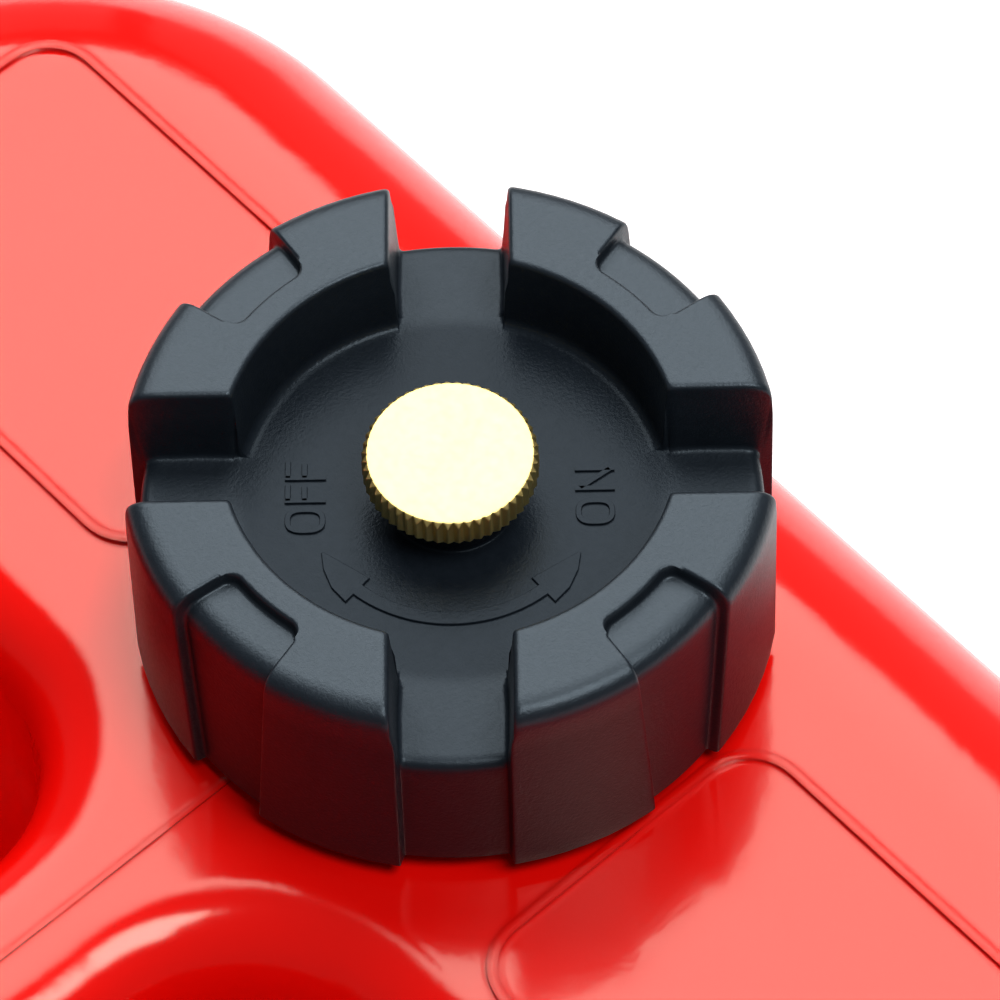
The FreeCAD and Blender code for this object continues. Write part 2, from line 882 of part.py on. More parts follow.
def gauge_float():
    """A foam block that slides on the rods; the slot in its middle plate turns the strip."""
    body = rod(float_radius, float_low, float_high, gauge_x)
    ears = round_block(
        around(gauge_x, float_ear_width / 2),
        around(0, float_ear_half),
        (float_low, float_high),
        "Z",
        guide_rod_radius,
    )
    body = fuse_all([body, ears])
    plate_low = float_plate_middle - float_plate_thickness / 2
    plate_high = float_plate_middle + float_plate_thickness / 2
    tools = [
        rod(float_bore_radius, float_low - beyond, plate_low, gauge_x),
        rod(float_bore_radius, plate_high, float_high + beyond, gauge_x),
        box(
            around(gauge_x, ribbon_width / 2 + float_slot_gap),
            around(0, ribbon_thickness / 2 + float_slot_gap),
            (float_low, float_high),
        ),
    ]
    for side in (1, -1):
        tools.append(rod(guide_rod_radius + float_rod_gap, float_low - beyond, float_high + beyond,
                         gauge_x, side * guide_rod_offset))
    return cut_all(body, tools)


def outlet_elbow():
    """A right-angle hose fitting: threaded leg down, barbed leg towards the tank's end."""
    shoulder = head_top + outlet_boss_height + elbow_seal_thickness
    centre = shoulder + elbow_rise
    leg = rod(outlet_thread_radius, head_top + outlet_boss_height - outlet_thread_length + tiny,
              centre, outlet_x)
    body = rod(elbow_body_radius, shoulder, centre, outlet_x)
    knuckle = Part.makeSphere(elbow_body_radius, point(outlet_x, 0, centre))
    barb_start = elbow_body_radius + barb_neck
    outline = [(0, 0), (barb_root_radius, 0), (barb_root_radius, barb_start)]
    step = barb_length / barb_count
    for index in range(barb_count):
        base = barb_start + index * step
        outline.append((barb_crest_radius, base))
        outline.append((barb_root_radius, base + step))
    outline.append((0, barb_start + barb_length))
    barb = revolve(outline, 0, 0)
    barb.rotate(point(0, 0, 0), point(0, 1, 0), -90)
    barb.translate(point(outlet_x, 0, centre))
    fitting = fuse_all([leg, body, knuckle, barb])
    down = rod(outlet_bore_radius, head_low, centre, outlet_x)
    bend = Part.makeSphere(outlet_bore_radius, point(outlet_x, 0, centre))
    reach = barb_start + barb_length + beyond
    out = Part.makeCylinder(outlet_bore_radius, reach, point(outlet_x, 0, centre), point(-1, 0, 0))
    return fitting.cut(fuse_all([down, bend, out])).removeSplitter()


def elbow_seal():
    low = head_top + outlet_boss_height
    return ring(elbow_body_radius, outlet_thread_radius, low, low + elbow_seal_thickness, outlet_x)


def pickup_tube():
    low = inner_floor + pickup_above_floor
    return ring(pickup_radius, outlet_bore_radius, low, head_under + pickup_socket, outlet_x)


def pickup_screen():
    """A slotted cup over the tube's lower end."""
    tube_low = inner_floor + pickup_above_floor
    high = tube_low + screen_overlap
    low = inner_floor + screen_above_floor
    inner = pickup_radius + screen_gap
    outer = inner + screen_wall
    cup = rod(outer, low, high, outlet_x).cut(rod(inner, low + screen_wall, high + beyond, outlet_x))
    slot = box((outlet_x, outlet_x + outer + beyond), around(0, screen_slot_width / 2),
               (low + 2 * screen_wall, tube_low - screen_wall))
    return cut_all(cup, turned_copies(slot, screen_slots, outlet_x, 0))


NODES = {
    "tank_shell": tank_shell,
    "filler_cap": filler_cap,
    "cap_gasket": cap_gasket,
    "vent_bush": vent_bush,
    "vent_screw": vent_screw,
    "vent_washer": vent_washer,
    "vent_stop_ring": vent_stop_ring,
    "head_inserts": head_inserts,
    "head_gasket": head_gasket,
    "gauge_head": gauge_head,
    "head_washers": head_washers,
    "head_screws": head_screws,
    "gauge_lens": gauge_lens,
    "lens_seal": lens_seal,
    "gauge_dial": gauge_dial,
    "gauge_pointer": gauge_pointer,
    "gauge_spindle": gauge_spindle,
    "gauge_guide": gauge_guide,
    "gauge_float": gauge_float,
    "outlet_elbow": outlet_elbow,
    "elbow_seal": elbow_seal,
    "pickup_tube": pickup_tube,
    "pickup_screen": pickup_screen,
}

os.makedirs("parts", exist_ok=True)
for name, make in NODES.items():
    shape = make()
    shape.exportStep("parts/" + name + ".step")
    print(name, len(shape.Solids), shape.isValid(), round(shape.Volume, 1))
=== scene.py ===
import math

import bpy
import numpy as np
from mathutils import Matrix, Vector


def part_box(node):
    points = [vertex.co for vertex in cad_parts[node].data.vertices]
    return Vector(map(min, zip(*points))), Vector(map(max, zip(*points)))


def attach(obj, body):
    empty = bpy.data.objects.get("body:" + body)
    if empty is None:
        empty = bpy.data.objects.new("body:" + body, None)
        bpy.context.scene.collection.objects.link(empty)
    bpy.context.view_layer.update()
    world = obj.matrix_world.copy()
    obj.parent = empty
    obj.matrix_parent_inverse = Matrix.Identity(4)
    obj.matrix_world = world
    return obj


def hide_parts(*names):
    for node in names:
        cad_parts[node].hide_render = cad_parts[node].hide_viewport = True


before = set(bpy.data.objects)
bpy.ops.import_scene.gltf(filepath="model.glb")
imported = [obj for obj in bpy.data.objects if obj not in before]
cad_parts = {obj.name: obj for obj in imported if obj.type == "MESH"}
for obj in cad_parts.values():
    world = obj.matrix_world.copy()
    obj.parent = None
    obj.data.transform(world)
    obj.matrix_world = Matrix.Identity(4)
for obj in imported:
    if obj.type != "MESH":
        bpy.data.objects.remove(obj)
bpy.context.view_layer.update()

# Camera: a long lens that looks down on the filler cap from the gauge end, as the photograph does.
mm = 0.001
cap_low, cap_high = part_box("filler_cap")
cap_axis = Vector(((cap_low.x + cap_high.x) / 2, (cap_low.y + cap_high.y) / 2, 0))
cap_top = cap_high.z
view_turn = math.radians(-40.92)
view_rise = math.radians(57.05)
view_roll = math.radians(-1.78)
view_distance = 0.8552
aim = Vector((cap_axis.x - 0.00124, cap_axis.y - 0.0114, cap_top))
back = Vector((
    math.sin(view_turn) * math.cos(view_rise),
    -math.cos(view_turn) * math.cos(view_rise),
    math.sin(view_rise),
))
level = Vector((math.cos(view_turn), math.sin(view_turn), 0))
upward = back.cross(level)
right = level * math.cos(view_roll) + upward * math.sin(view_roll)
over = back.cross(right)
camera_data = bpy.data.cameras.new("camera")
camera_data.sensor_width = 36.0
camera_data.lens = 230.4
camera_data.clip_start = 0.05
camera_data.clip_end = 20.0
camera = bpy.data.objects.new("camera", camera_data)
turn = Matrix((right, over, back)).transposed().to_4x4()
camera.matrix_world = Matrix.Translation(aim + back * view_distance) @ turn
bpy.context.scene.collection.objects.link(camera)
bpy.context.scene.camera = camera


# Tank: blow-moulded red polyethylene, half gloss, with faint ripples left by the mould.
# Its shape is the solid's own; only its finish is made here.
def new_material(name):
    """An empty material with one shader; gives back its nodes, links and shader."""
    material = bpy.data.materials.new(name)
    material.use_nodes = True
    nodes = material.node_tree.nodes
    return material, nodes, material.node_tree.links, nodes["Principled BSDF"]


def noise(nodes, links, scale, detail=2.0, roughness=0.5, stretch=None):
    """Noise on the piece's own coordinates, in features per metre."""
    where = nodes.new("ShaderNodeTexCoord")
    texture = nodes.new("ShaderNodeTexNoise")
    texture.inputs["Scale"].default_value = scale
    texture.inputs["Detail"].default_value = detail
    texture.inputs["Roughness"].default_value = roughness
    if stretch:
        mapping = nodes.new("ShaderNodeMapping")
        mapping.inputs["Scale"].default_value = stretch
        links.new(where.outputs["Object"], mapping.inputs["Vector"])
        links.new(mapping.outputs["Vector"], texture.inputs["Vector"])
    else:
        links.new(where.outputs["Object"], texture.inputs["Vector"])
    return texture.outputs["Fac"]


def bump(nodes, links, height, depth, before=None):
    """A bump of the given depth in metres, laid over an earlier one."""
    node = nodes.new("ShaderNodeBump")
    node.inputs["Strength"].default_value = 1.0
    node.inputs["Distance"].default_value = depth
    links.new(height, node.inputs["Height"])
    if before:
        links.new(before, node.inputs["Normal"])
    return node.outputs["Normal"]


def spread(nodes, links, value, low, high):
    """Maps a 0 to 1 pattern onto a range."""
    node = nodes.new("ShaderNodeMapRange")
    node.inputs["To Min"].default_value = low
    node.inputs["To Max"].default_value = high
    links.new(value, node.inputs["Value"])
    return node.outputs["Result"]


def blend_colour(nodes, links, value, first, second):
    """Mixes two colours by a 0 to 1 pattern."""
    node = nodes.new("ShaderNodeMix")
    node.data_type = "RGBA"
    node.inputs["A"].default_value = (*first, 1)
    node.inputs["B"].default_value = (*second, 1)
    links.new(value, node.inputs["Factor"])
    return node.outputs["Result"]


def tank_plastic():
    """Red plastic: a cloud in the colour, wide shallow ripples, fine pits and softened edges."""
    material, nodes, links, shader = new_material("red_polyethylene")
    cloud = noise(nodes, links, 9.0, 3.0)
    links.new(blend_colour(nodes, links, cloud, (0.84, 0.002, 0.001), (0.90, 0.004, 0.002)),
              shader.inputs["Base Color"])
    links.new(spread(nodes, links, noise(nodes, links, 60.0), 0.10, 0.15), shader.inputs["Roughness"])
    shader.inputs["IOR"].default_value = 1.52
    shader.inputs["Specular Tint"].default_value = (1, 1, 0.84, 1)
    edges = nodes.new("ShaderNodeBevel")
    edges.inputs["Radius"].default_value = 0.0015
    ripple = bump(nodes, links, noise(nodes, links, 26.0, 2.0), 0.0005, edges.outputs["Normal"])
    pitted = bump(nodes, links, noise(nodes, links, 300.0, 2.0), 0.00003, ripple)
    links.new(pitted, shader.inputs["Normal"])
    return material


def dress(node, material):
    """Gives a solid its finish in place of the one it came with."""
    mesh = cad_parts[node].data
    mesh.materials.clear()
    mesh.materials.append(material)


dress("tank_shell", tank_plastic())


# Filler cap: one black moulding with four grip lobes, a notch in each, a dish and an inside thread.
# The surface is a closed grid: one direction follows the section from the vent hole out over the
# top, down the side and back inside, and the other goes round the cap.
def rounded_path(corners, setbacks, curve_steps, straight_steps, closed):
    """A path through corners, each replaced by a quadratic curve that starts and ends at its
    setback from the corner: (1-t)^2 A + 2t(1-t) corner + t^2 B, with straight stretches between."""
    corners = np.asarray(corners, float)
    setbacks = np.asarray(setbacks, float)[:, None]
    forward = np.roll(corners, -1, axis=0) - corners
    reach = np.linalg.norm(forward, axis=1, keepdims=True)
    ahead = forward / reach
    behind = np.roll(ahead, 1, axis=0)
    start = corners - behind * setbacks
    end = corners + ahead * setbacks
    if not closed:
        start[0] = corners[0]
        end[0] = corners[0]
        start[-1] = corners[-1]
        end[-1] = corners[-1]
    t = np.linspace(0.0, 1.0, curve_steps)[None, :, None]
    curves = start[:, None] * (1 - t) ** 2 + corners[:, None] * 2 * t * (1 - t) + end[:, None] * t ** 2
    following = np.roll(start, -1, axis=0)
    pieces = []
    for index, count in enumerate(straight_steps):
        at_end = not closed and index in (0, len(corners) - 1)
        pieces.append(curves[index][:1] if at_end else curves[index])
        if closed or index < len(corners) - 1:
            u = np.linspace(0.0, 1.0, count + 2)[1:-1, None]
            pieces.append(end[index] * (1 - u) + following[index] * u)
    return np.concatenate(pieces)


def grid_faces(rows, columns, close_rows, close_columns):
    """Quads of a grid whose points are numbered row by row."""
    row = np.arange(rows if close_rows else rows - 1)
    column = np.arange(columns if close_columns else columns - 1)
    r, c = np.meshgrid(row, column, indexing="ij")
    r2 = (r + 1) % rows
    c2 = (c + 1) % columns
    quads = np.stack([r * columns + c, r * columns + c2, r2 * columns + c2, r2 * columns + c], axis=-1)
    return quads.reshape(-1, 4)


def add_piece(name, points, faces, material, body, smooth=True):
    """A mesh at the origin, riding on a body."""
    mesh = bpy.data.meshes.new(name)
    corners = [[int(index) for index in face] for face in faces]
    mesh.from_pydata(np.asarray(points, float).reshape(-1, 3).tolist(), [], corners)
    mesh.polygons.foreach_set("use_smooth", np.full(len(mesh.polygons), smooth))
    mesh.materials.append(material)
    mesh.update()
    piece = bpy.data.objects.new(name, mesh)
    bpy.context.scene.collection.objects.link(piece)
    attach(piece, body)
    return piece


cap_yaw = math.radians(-41.9)
side_radius = 44.5
foot_radius = 44.9
dish_radius = 30.6
dish_floor = -13.7
floor_radius = 29.6
foot_height = -37.3
deck_height = -16.7
bore_radius = 39.8
boss_radius = 8.6
boss_height = -9.2
bush_radius = 6.0
notch_radius = 34.8
notch_floor = -2.0
notch_side = 42.9
gap_side = 42.6
shoulder = 3.4
gap_half_width = 7.4
lobe_edge = 8.26
flat_past_edge = 1.54
notch_half_angle = 0.19
notch_narrowing = 0.3
notch_side_lean = 0.15
notch_side_margin = 1.2
notch_corner = 2.0
notch_run_out = 41.0
lean_lost = 0.6
lean_fade = 3.0


def cap_sections():
    """Three sections with matching points: through a lobe, through a gap and through a notch."""
    ends = [(bore_radius, foot_height), (bore_radius, deck_height), (bush_radius, deck_height)]
    middle = [(bush_radius, boss_height), (boss_radius, boss_height), (boss_radius, dish_floor)]
    lobe = middle + [
        (floor_radius, dish_floor), (dish_radius, 0), (notch_radius, 0), (notch_radius + 0.5, 0),
        (side_radius, 0), (foot_radius, foot_height),
    ] + ends
    gap = middle + [
        (floor_radius, dish_floor), (dish_radius, dish_floor), (notch_radius, dish_floor),
        (notch_radius + 0.5, dish_floor), (gap_side, dish_floor), (gap_side + 0.4, foot_height),
    ] + ends
    notch = middle + [
        (floor_radius, dish_floor), (dish_radius, 0), (notch_radius, 0), (notch_radius + 0.35, notch_floor),
        (notch_side, notch_floor), (notch_side + 0.4, foot_height),
    ] + ends
    lobe_setbacks = [0.2, 0.4, 0.5, 1.6, 0.9, 0.1, 0.1, shoulder, 0.5, 0.4, 0.8, 0.3]
    gap_setbacks = [0.2, 0.4, 0.5, 0.1, 0.1, 0.1, 0.1, 1.9, 0.4, 0.4, 0.8, 0.3]
    notch_setbacks = [0.2, 0.4, 0.5, 1.6, 0.9, 0.55, 0.6, shoulder, 0.4, 0.4, 0.8, 0.3]
    steps = [2, 1, 10, 5, 4, 2, 10, 12, 3, 6, 10, 1]
    made = []
    for corners, setbacks in ((lobe, lobe_setbacks), (gap, gap_setbacks), (notch, notch_setbacks)):
        made.append(rounded_path(corners, setbacks, 7, steps, True))
    return made


def cap_surface():
    """Rows follow the section, columns go round. At each place the section is the gap's, the
    lobe's or the notch's, blended by shares that run from 0 to 1 across each wall. Near a notch's
    corner its inner wall moves out by R - sqrt(R^2 - (R - d)^2), at distance d from the side."""
    lobe, gap, notch = cap_sections()
    lobe_height = -dish_floor
    lobe_flat = lobe_edge + flat_past_edge
    wall = rounded_path(
        [(0, 0), (gap_half_width, 0), (lobe_edge, lobe_height), (lobe_flat, lobe_height)],
        [0, 0.9, 0.9, 0], 6, [3, 5, 1, 0], False,
    )
    across, rise = wall[:, 0], wall[:, 1] / lobe_height
    notch_depth = -notch_floor
    cheek = rounded_path(
        [(-notch_side_margin, 0), (-notch_side_lean, 0), (notch_side_lean, notch_depth),
         (notch_side_margin, notch_depth)],
        [0, 0.5, 0.5, 0], 6, [1, 3, 1, 0], False,
    )
    side_step, side_rise = cheek[:, 0], 1 - cheek[:, 1] / notch_depth
    radius = np.maximum(lobe[:, 0], dish_radius)[:, None]
    fall = np.clip((lobe[:, 1] - notch_floor) / (foot_height - notch_floor), 0, 1)[:, None]
    steep = 1 - lean_lost * np.clip((-lobe[:, 1:2] - shoulder) / lean_fade, 0, 1)
    past_foot = across[None, :] - gap_half_width
    gap_angle = np.arcsin((gap_half_width + past_foot * np.where(past_foot > 0, steep, 1.0)) / radius)
    half_notch = notch_half_angle * (1 - notch_narrowing * fall)
    notch_angle = half_notch + side_step[None, :] / radius
    eighth = math.pi / 4
    between = np.linspace(0, 1, 7)[1:-1][None, :]
    lobe_from = gap_angle[:, -1:]
    lobe_to = eighth - notch_angle[:, -1:]
    lobe_angle = lobe_from + (lobe_to - lobe_from) * between
    floor_share = np.array([0, 0.05, 0.1, 0.2, 0.5, 0.75])[None, :]
    floor_angle = eighth - notch_angle[:, :1] * (1 - floor_share)
    side_angle = eighth - notch_angle[:, ::-1]
    half = np.concatenate([gap_angle, lobe_angle, side_angle, floor_angle[:, 1:]], axis=1)
    lobe_share = np.concatenate([rise, np.ones(half.shape[1] - len(rise))])
    notch_share = np.concatenate([
        np.zeros(len(rise) + between.shape[1]), side_rise[::-1], np.ones(floor_share.shape[1] - 1),
    ])
    floor_half = notch_half_angle * notch_radius - notch_side_margin
    from_side = np.concatenate([-side_step[::-1], notch_side_margin + floor_share[0, 1:] * floor_half])
    inside = np.clip(notch_corner - from_side, 0, notch_corner)
    rounding = notch_corner - np.sqrt(notch_corner ** 2 - inside ** 2)
    shift = np.concatenate([np.zeros(len(rise)), notch_corner * between[0], rounding])
    shift = np.concatenate([shift, [0.0], shift[::-1][:-1]])
    mirrored = math.pi / 2 - half[:, ::-1]
    angle = np.concatenate([half, np.full((len(half), 1), eighth), mirrored[:, :-1]], axis=1)
    lobe_share = np.concatenate([lobe_share, [1.0], lobe_share[::-1][:-1]])
    notch_share = np.concatenate([notch_share, [1.0], notch_share[::-1][:-1]])
    section = (
        gap[:, None] * (1 - lobe_share)[None, :, None]
        + lobe[:, None] * (lobe_share - notch_share)[None, :, None]
        + notch[:, None] * notch_share[None, :, None]
    )
    share_moved = np.interp(
        lobe[:, 0], [dish_radius + 1, notch_radius - 0.2, notch_radius + 0.7, notch_run_out], [0, 1, 1, 0],
    )
    share_moved = np.where(lobe[:, 1] > deck_height / 2, share_moved, 0)
    section[..., 0] += share_moved[:, None] * shift[None, :]
    quarters = [angle + quarter * math.pi / 2 for quarter in range(4)]
    angle = np.concatenate(quarters, axis=1) + cap_yaw
    section = np.tile(section, (1, 4, 1))
    x = cap_axis.x + section[..., 0] * np.cos(angle) * mm
    y = cap_axis.y + section[..., 0] * np.sin(angle) * mm
    z = cap_top + section[..., 1] * mm
    return np.stack([x, y, z], axis=-1)


def dish_polish_and_shade_share(nodes, links):
    """One inside the dish and nought outside it: it makes the dish smoother, where the mould was polished,
    and less glossy, as painted shade of the recess.
    """
    where = nodes.new("ShaderNodeTexCoord")
    centred = nodes.new("ShaderNodeMapping")
    centred.inputs["Location"].default_value = (-cap_axis.x, -cap_axis.y, 0)
    centred.inputs["Scale"].default_value = (1, 1, 0)
    reach = nodes.new("ShaderNodeVectorMath")
    reach.operation = "LENGTH"
    share = nodes.new("ShaderNodeMapRange")
    share.interpolation_type = "SMOOTHSTEP"
    share.inputs["From Min"].default_value = (dish_radius + 0.4) * mm
    share.inputs["From Max"].default_value = (dish_radius - 3.0) * mm
    links.new(where.outputs["Object"], centred.inputs["Vector"])
    links.new(centred.outputs["Vector"], reach.inputs[0])
    links.new(reach.outputs["Value"], share.inputs["Value"])
    return share.outputs["Result"]


def cap_plastic():
    """Black plastic with the fine grain of a spark-eroded mould, smoother in the dish and less glossy there
    as painted shade of the recess, and duller on the skirt as painted shade of the sides, where its
    refraction falls from that of the top over a band at the shoulder."""
    material, nodes, links, shader = new_material("black_cap_plastic")
    polish_and_shade_in_dish = dish_polish_and_shade_share(nodes, links)
    # Painted shade: the dish reflects less than the top, so the recess looks darker.
    links.new(spread(nodes, links, polish_and_shade_in_dish, 0.5, 0.22), shader.inputs["Specular IOR Level"])
    cloud = noise(nodes, links, 700.0)
    links.new(blend_colour(nodes, links, cloud, (0.006, 0.009, 0.013), (0.011, 0.015, 0.021)),
              shader.inputs["Base Color"])
    polish = nodes.new("ShaderNodeMath")
    polish.operation = "SUBTRACT"
    links.new(spread(nodes, links, noise(nodes, links, 1500.0), 0.32, 0.44), polish.inputs[0])
    links.new(spread(nodes, links, polish_and_shade_in_dish, 0.0, 0.14), polish.inputs[1])
    links.new(polish.outputs["Value"], shader.inputs["Roughness"])
    shader.inputs["Specular Tint"].default_value = (0.72, 0.88, 1.0, 1)
    height = nodes.new("ShaderNodeSeparateXYZ")
    links.new(nodes.new("ShaderNodeTexCoord").outputs["Object"], height.inputs["Vector"])
    # Painted shade: below the shoulder the refraction is lowered, so the skirt's sides reflect less and
    # look darker.
    skirt_shade_ior = nodes.new("ShaderNodeMapRange")
    skirt_shade_ior.inputs["From Min"].default_value = cap_top - 8 * mm
    skirt_shade_ior.inputs["From Max"].default_value = cap_top - 4 * mm
    skirt_shade_ior.inputs["To Min"].default_value = 1.36
    skirt_shade_ior.inputs["To Max"].default_value = 1.5
    links.new(height.outputs["Z"], skirt_shade_ior.inputs["Value"])
    links.new(skirt_shade_ior.outputs["Result"], shader.inputs["IOR"])
    grain = bump(nodes, links, noise(nodes, links, 1900.0, 3.0, 0.7), 0.00006)
    links.new(grain, shader.inputs["Normal"])
    return material


def cap_thread():
    """The two-start thread inside the skirt: a trapezoid section carried along a helix,
    angle = start + 2 pi t, height = foot + lead t, for t from 0 to three quarters of a turn."""
    lead = 12.0
    turns = 0.75
    root, crest = bore_radius + 0.4, 37.8
    section = np.array([(root, -1.3), (crest, -0.75), (crest, 0.75), (root, 1.3)])
    t = np.linspace(0, turns, 91)
    parts = []
    for start in (0.0, math.pi):
        turn_by = start + cap_yaw + 2 * math.pi * t
        x = cap_axis.x + section[None, :, 0] * np.cos(turn_by)[:, None] * mm
        y = cap_axis.y + section[None, :, 0] * np.sin(turn_by)[:, None] * mm
        z = cap_top + (foot_height + 1.5 + lead * t[:, None] + section[None, :, 1]) * mm
        faces = grid_faces(len(t), 4, False, True).tolist()
        last = (len(t) - 1) * 4
        faces += [[0, 1, 2, 3], [last + 3, last + 2, last + 1, last]]
        parts.append((np.stack([x, y, z], axis=-1).reshape(-1, 3), faces))
    return parts


def join_parts(parts):
    """One list of points and one of faces from several."""
    points, faces, count = [], [], 0
    for part_points, part_faces in parts:
        points.append(part_points)
        faces += [[index + count for index in face] for face in part_faces]
        count += len(part_points)
    return np.concatenate(points), faces


# Lettering and arrow: moulded with the cap, a third of a millimetre proud of the dish floor.
# Letters are flat-topped beads along their strokes; the arrow is one plateau with bevelled edges.
letter_height = 0.35
letter_stroke = 0.82


def bead(line, width, height, closed=False):
    """A bead along a flat line: six points across it, at shares of its width and height."""
    line = np.asarray(line, float)
    if closed:
        ahead = np.roll(line, -1, axis=0) - np.roll(line, 1, axis=0)
    else:
        ahead = np.gradient(line, axis=0)
    ahead /= np.linalg.norm(ahead, axis=1, keepdims=True)
    aside = np.stack([-ahead[:, 1], ahead[:, 0]], axis=1)
    across = np.array([0.5, 0.48, 0.4, -0.4, -0.48, -0.5]) * width
    up = np.array([-0.5, 0.75, 1.0, 1.0, 0.75, -0.5]) * height
    flat = line[:, None, :] + aside[:, None, :] * across[None, :, None]
    points = np.concatenate([flat, np.broadcast_to(up, flat.shape[:2])[..., None]], axis=2)
    count = len(line)
    faces = grid_faces(count, 6, closed, True).tolist()
    if not closed:
        last = (count - 1) * 6
        faces += [list(range(6)), [last + index for index in range(5, -1, -1)]]
    return points.reshape(-1, 3), faces


def plateau(outline, height, bevel):
    """A flat-topped form on a closed outline that runs anticlockwise, with a bevelled rim."""
    outline = np.asarray(outline, float)
    ahead = np.roll(outline, -1, axis=0) - outline
    ahead /= np.linalg.norm(ahead, axis=1, keepdims=True)
    behind = np.roll(ahead, 1, axis=0)
    inward = np.stack([-ahead[:, 1] - behind[:, 1], ahead[:, 0] + behind[:, 0]], axis=1)
    inward /= np.maximum(1 + np.sum(ahead * behind, axis=1, keepdims=True), 0.5)
    rows = []
    for step, level in ((0, -0.5 * height), (0, height - bevel), (bevel, height)):
        flat = outline + inward * step
        rows.append(np.concatenate([flat, np.full((len(flat), 1), level)], axis=1))
    count = len(outline)
    faces = grid_faces(3, count, False, True).tolist()
    faces.append([2 * count + index for index in range(count)])
    faces.append(list(range(count - 1, -1, -1)))
    return np.concatenate(rows), faces


def letter_lines(letter, width, height):
    """Centre lines of a letter that stands in a box of this width and height."""
    half = letter_stroke / 2
    left, right, low, high = half, width - half, half, height - half
    if letter == "O":
        turn_by = np.linspace(0, 2 * math.pi, 49)[:-1]
        bend = 0.72
        c, v = np.cos(turn_by), np.sin(turn_by)
        x = (left + right) / 2 + (right - left) / 2 * np.sign(c) * np.abs(c) ** bend
        y = (low + high) / 2 + (high - low) / 2 * np.sign(v) * np.abs(v) ** bend
        return [(np.stack([x, y], axis=1), True)]
    if letter == "F":
        middle = height * 0.52
        return [
            (np.array([(left, 0), (left, height)]), False),
            (np.array([(left, high), (width, high)]), False),
            (np.array([(left, middle), (width * 0.88, middle)]), False),
        ]
    return [
        (np.array([(left, 0), (left, height)]), False),
        (np.array([(right, 0), (right, height)]), False),
        (np.array([(left + 0.1, high - 0.25), (right - 0.1, low + 0.25)]), False),
    ]


def word(letters, widths, gap, first, middle_x, height):
    """Letters that read towards +y with their tops towards -x, as cut in the cap's own axes."""
    parts = []
    place = first
    for letter, width in zip(letters, widths):
        for line, closed in letter_lines(letter, width, height):
            turned = np.stack([middle_x - (line[:, 1] - height / 2), place + line[:, 0]], axis=1)
            parts.append(bead(turned, letter_stroke, letter_height, closed))
        place += width + gap
    return parts


def arc(radius, first, last, count):
    """Points on an arc, between two angles in degrees."""
    turn_by = np.radians(np.linspace(first, last, count))
    return np.stack([radius * np.cos(turn_by), radius * np.sin(turn_by)], axis=1)


def double_arrow():
    """A curved band with a head at each end, whose outer edge falls by 2.4 s^2 towards the tip."""
    start, end, tip = -131.0, -51.0, 22.9
    shaft_outer, shaft_inner = 20.4, 18.45
    barb_outer, barb_inner = 22.0, 17.0
    tip_outer, tip_inner = 19.8, 19.4
    edge_share = np.array([0.35, 0.7])
    edge_radius = barb_outer - 2.4 * edge_share ** 2
    end_edge = [arc(r, end + tip * s, end + tip * s, 1) for r, s in zip(edge_radius, edge_share)]
    start_edge = [arc(r, start - tip * s, start - tip * s, 1) for r, s in zip(edge_radius, edge_share)]
    outline = [
        arc(shaft_outer, start, end, 33), arc(barb_outer, end, end, 1), *end_edge,
        arc(tip_outer, end + tip, end + tip, 1), arc(tip_inner, end + tip, end + tip, 1),
        arc(barb_inner, end, end, 1), arc(shaft_inner, end, start, 33), arc(barb_inner, start, start, 1),
        arc(tip_inner, start - tip, start - tip, 1), arc(tip_outer, start - tip, start - tip, 1),
        *start_edge[::-1], arc(barb_outer, start, start, 1),
    ]
    return plateau(np.concatenate(outline), letter_height, 0.1)


def on_dish(part):
    """Takes points from the cap's own axes to their place in the dish."""
    points, faces = part
    c, v = math.cos(cap_yaw), math.sin(cap_yaw)
    x = cap_axis.x + (points[:, 0] * c - points[:, 1] * v) * mm
    y = cap_axis.y + (points[:, 0] * v + points[:, 1] * c) * mm
    z = cap_top + (dish_floor + points[:, 2]) * mm
    return np.stack([x, y, z], axis=1), faces


cap_points = cap_surface()
cap_faces = grid_faces(cap_points.shape[0], cap_points.shape[1], True, True).tolist()
marks = [double_arrow()]
marks += word("OFF", (4.2, 3.0, 3.0), 0.7, -5.5, -20.0, 5.6)
marks += word("ON", (4.3, 4.0), 1.2, -4.8, 19.5, 5.4)
mark_points, mark_faces = join_parts([on_dish(part) for part in marks])
cap_mesh_points, cap_mesh_faces = join_parts([(cap_points.reshape(-1, 3), cap_faces)] + cap_thread())
black_plastic = cap_plastic()
cap = add_piece("cap_moulding", cap_mesh_points, cap_mesh_faces, black_plastic, "cap")
add_piece("cap_lettering", mark_points, mark_faces, black_plastic, "cap", smooth=False)
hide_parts("filler_cap")


# Vent bush and vent screw: turned brass, the screw with straight knurling round its knob.
# The screw is a section spun round, cut back wherever it would pass the V-shaped teeth.
screw_low, screw_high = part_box("vent_screw")
ring_low, ring_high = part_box("vent_stop_ring")


def turned_brass(name, light, rough):
    """Brass with the fine marks of the lathe."""
    material, nodes, links, shader = new_material(name)
    shade = noise(nodes, links, 160.0)
    dark = tuple(part * 0.93 for part in light)
    links.new(blend_colour(nodes, links, shade, dark, light), shader.inputs["Base Color"])
    shader.inputs["Metallic"].default_value = 1.0
    wear = noise(nodes, links, 900.0)
    links.new(spread(nodes, links, wear, rough - 0.06, rough + 0.06), shader.inputs["Roughness"])
    fine = bump(nodes, links, noise(nodes, links, 1800.0, 2.0), 0.00001)
    links.new(fine, shader.inputs["Normal"])
    return material


